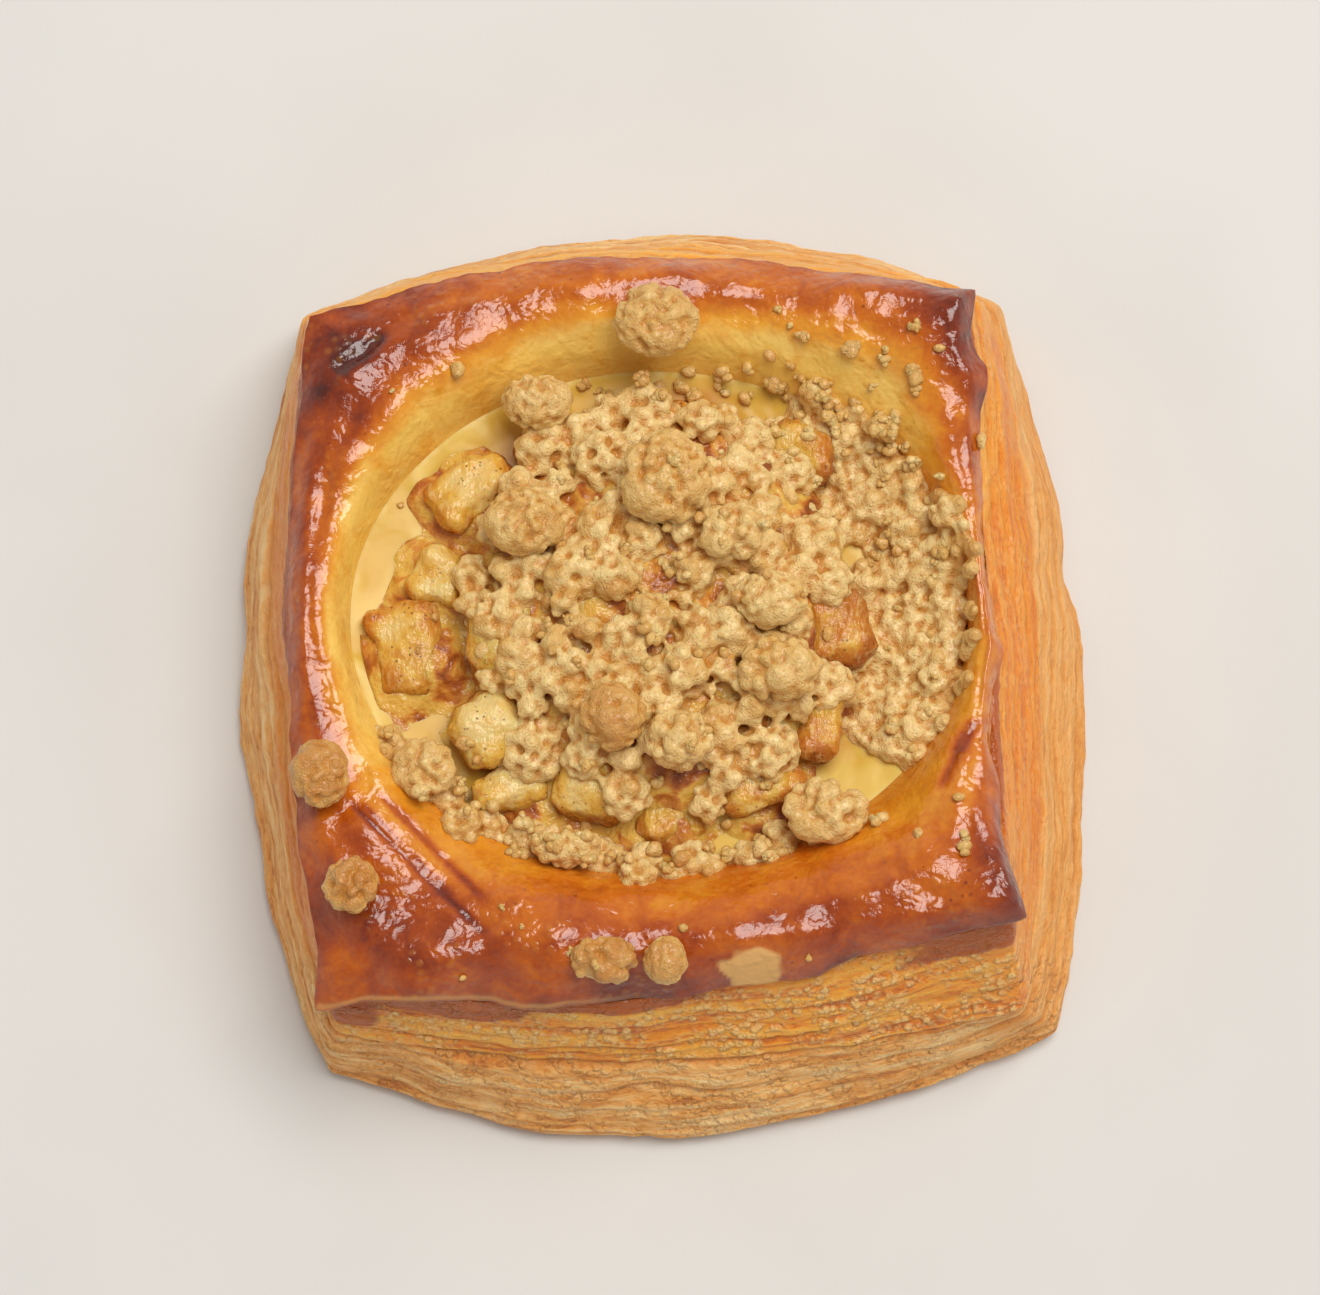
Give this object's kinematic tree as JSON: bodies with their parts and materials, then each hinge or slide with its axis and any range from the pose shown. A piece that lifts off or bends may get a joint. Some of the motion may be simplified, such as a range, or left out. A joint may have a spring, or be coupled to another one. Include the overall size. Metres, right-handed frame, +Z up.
{
  "type": "apple crumble danish pastry",
  "caption": "Square laminated danish with a glazed rolled rim round a well of custard, diced cooked apple and streusel crumble, with loose streusel clumps on the rim.",
  "frame": {"origin": "middle of the box's underside, on the flat base that the pastry rests on", "axes": "+Z up, +X to the right and +Y to the rear as the pastry is looked down on from its front"},
  "size_m": [0.1093, 0.1186, 0.0377],
  "materials": {
    "baked_dough": "baked laminated dough: pale straw leaves at the side, red-brown egg-washed and glazed top",
    "custard": "baked pastry cream, smooth and softly glossy",
    "cooked_apple": "diced apple cooked in cinnamon syrup, moist and slightly clear",
    "streusel": "baked butter crumble, matt and knobbly, browned on the bigger clumps"
  },
  "bodies": {
    "root": {"pastry": "baked_dough", "custard": "custard", "streusel_heap": "streusel", "streusel_bank": "streusel", "apple_01": "cooked_apple", "apple_02": "cooked_apple", "apple_03": "cooked_apple", "apple_04": "cooked_apple", "apple_05": "cooked_apple", "apple_06": "cooked_apple", "apple_07": "cooked_apple", "apple_08": "cooked_apple", "apple_09": "cooked_apple", "apple_10": "cooked_apple", "apple_11": "cooked_apple", "apple_12": "cooked_apple", "apple_13": "cooked_apple", "apple_14": "cooked_apple", "apple_15": "cooked_apple", "apple_16": "cooked_apple", "apple_17": "cooked_apple", "heap_clump_01": "streusel", "heap_clump_02": "streusel", "heap_clump_03": "streusel", "heap_clump_04": "streusel", "heap_clump_05": "streusel", "heap_clump_06": "streusel", "heap_clump_07": "streusel", "loose_clump_01": "streusel", "loose_clump_02": "streusel", "loose_clump_03": "streusel", "loose_clump_04": "streusel", "loose_clump_05": "streusel", "loose_clump_06": "streusel", "loose_clump_07": "streusel", "loose_clump_08": "streusel", "loose_clump_09": "streusel"}
  },
  "joints": []
}
